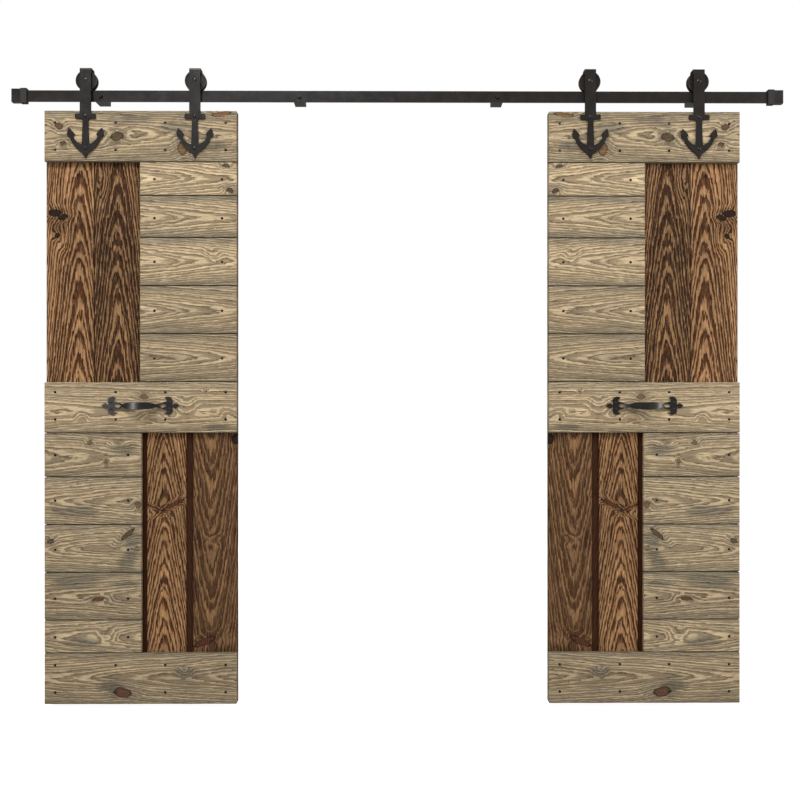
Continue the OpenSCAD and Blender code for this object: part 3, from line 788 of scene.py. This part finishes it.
EYE = (-0.0072, -2.6595, -1.0964)
YAW = -0.29  # degrees
LENS, SENSOR = 32.55, 36.0  # mm
AMBIENT = 0.42  # how strongly the white surroundings light the doors
BACKDROP = 1.0  # how bright the camera sees them
MIDDLE = (0, 0, -1.1)
LEFT_DOOR, RIGHT_DOOR = (-0.93, 0, -1.1), (0.9, 0, -1.1)
LAMPS = (  # name, place, target, width, height, watts, and whether it is a glint
    ("key", (-1.8, -3.6, 3.8), MIDDLE, 2.2, 1.6, 250, False),
    ("fill", (4.6, -2.6, 0.6), MIDDLE, 1.8, 1.8, 90, False),
    ("top_glint", (-0.8, -2.2, 3.2), MIDDLE, 0.7, 0.3, 55, True),
    ("left_glint", (-2.7, -2.6, -1.1), LEFT_DOOR, 0.3, 0.9, 26, True),
    ("right_glint", (3.8, -1.3, -1.1), RIGHT_DOOR, 0.3, 0.9, 26, True),
)
FLOOR_RADIUS, FLOOR_SIDES = 14, 60
FLOOR_DROP = 0.02  # below the doors' lower edges
FLOOR_GLOW = 0.75


def camera():
    """Stands back at half the doors' height and looks almost straight at the wall."""
    lens = bpy.data.cameras.new("camera")
    lens.sensor_width = SENSOR
    lens.lens = LENS
    lens.clip_start, lens.clip_end = 0.05, 200.0
    eye = bpy.data.objects.new("camera", lens)
    eye.location = EYE
    eye.rotation_euler = (math.radians(90), 0, math.radians(YAW))
    bpy.context.scene.collection.objects.link(eye)
    bpy.context.scene.camera = eye


def area_light(name, place, target, width, height, watts, glint):
    """A soft lamp turned to its target. A glint adds no diffuse light, only a sheen."""
    data = bpy.data.lights.new(name, "AREA")
    data.shape = "RECTANGLE"
    data.size, data.size_y, data.energy = width, height, watts
    lamp = bpy.data.objects.new(name, data)
    lamp.location = place
    lamp.rotation_euler = (Vector(target) - Vector(place)).to_track_quat("-Z", "Y").to_euler()
    lamp.visible_diffuse = not glint
    bpy.context.scene.collection.objects.link(lamp)


def surroundings():
    """White all round, but dimmer as a light than as the backdrop that the camera sees."""
    bpy.context.scene.view_settings.view_transform = "Standard"
    world = bpy.data.worlds.new("studio")
    bpy.context.scene.world = world
    world.use_nodes = True
    tree = world.node_tree
    light = tree.nodes["Background"]
    light.inputs["Color"].default_value = (1, 1, 1, 1)
    light.inputs["Strength"].default_value = AMBIENT
    backdrop = tree.nodes.new("ShaderNodeBackground")
    backdrop.inputs["Color"].default_value = (1, 1, 1, 1)
    backdrop.inputs["Strength"].default_value = BACKDROP
    seen = tree.nodes.new("ShaderNodeLightPath")
    choose = tree.nodes.new("ShaderNodeMixShader")
    tree.links.new(seen.outputs["Is Camera Ray"], choose.inputs[0])
    tree.links.new(light.outputs[0], choose.inputs[1])
    tree.links.new(backdrop.outputs[0], choose.inputs[2])
    tree.links.new(choose.outputs[0], tree.nodes["World Output"].inputs["Surface"])


def pale_floor():
    """A plain pale disc just under the doors, which neither lights them nor shows in the steel."""
    floor = bpy.data.meshes.new("floor")
    turns = [math.radians(360 / FLOOR_SIDES * i) for i in range(FLOOR_SIDES)]
    rim = [(FLOOR_RADIUS * math.cos(turn), FLOOR_RADIUS * math.sin(turn), 0) for turn in turns]
    floor.from_pydata(rim, [], [list(range(FLOOR_SIDES))])
    paint = Shader("floor_paint")
    speck = paint.noise(paint.place(), 3.0, 3.0)
    paint.finish(
        Base_Color=paint.mix(speck, (0.9, 0.9, 0.9, 1), (0.94, 0.94, 0.94, 1)),
        Roughness=0.9,
        Emission_Color=(1, 1, 1, 1),
        Emission_Strength=FLOOR_GLOW,
    )
    floor.materials.append(paint.material)
    ground = bpy.data.objects.new("floor", floor)
    ground.location.z = CAD_BOX[0].z - FLOOR_DROP
    ground.visible_diffuse = ground.visible_glossy = False
    bpy.context.scene.collection.objects.link(ground)


camera()
surroundings()
for lamp in LAMPS:
    area_light(*lamp)
pale_floor()
light_boards()
dark_boards()
steel_pieces()
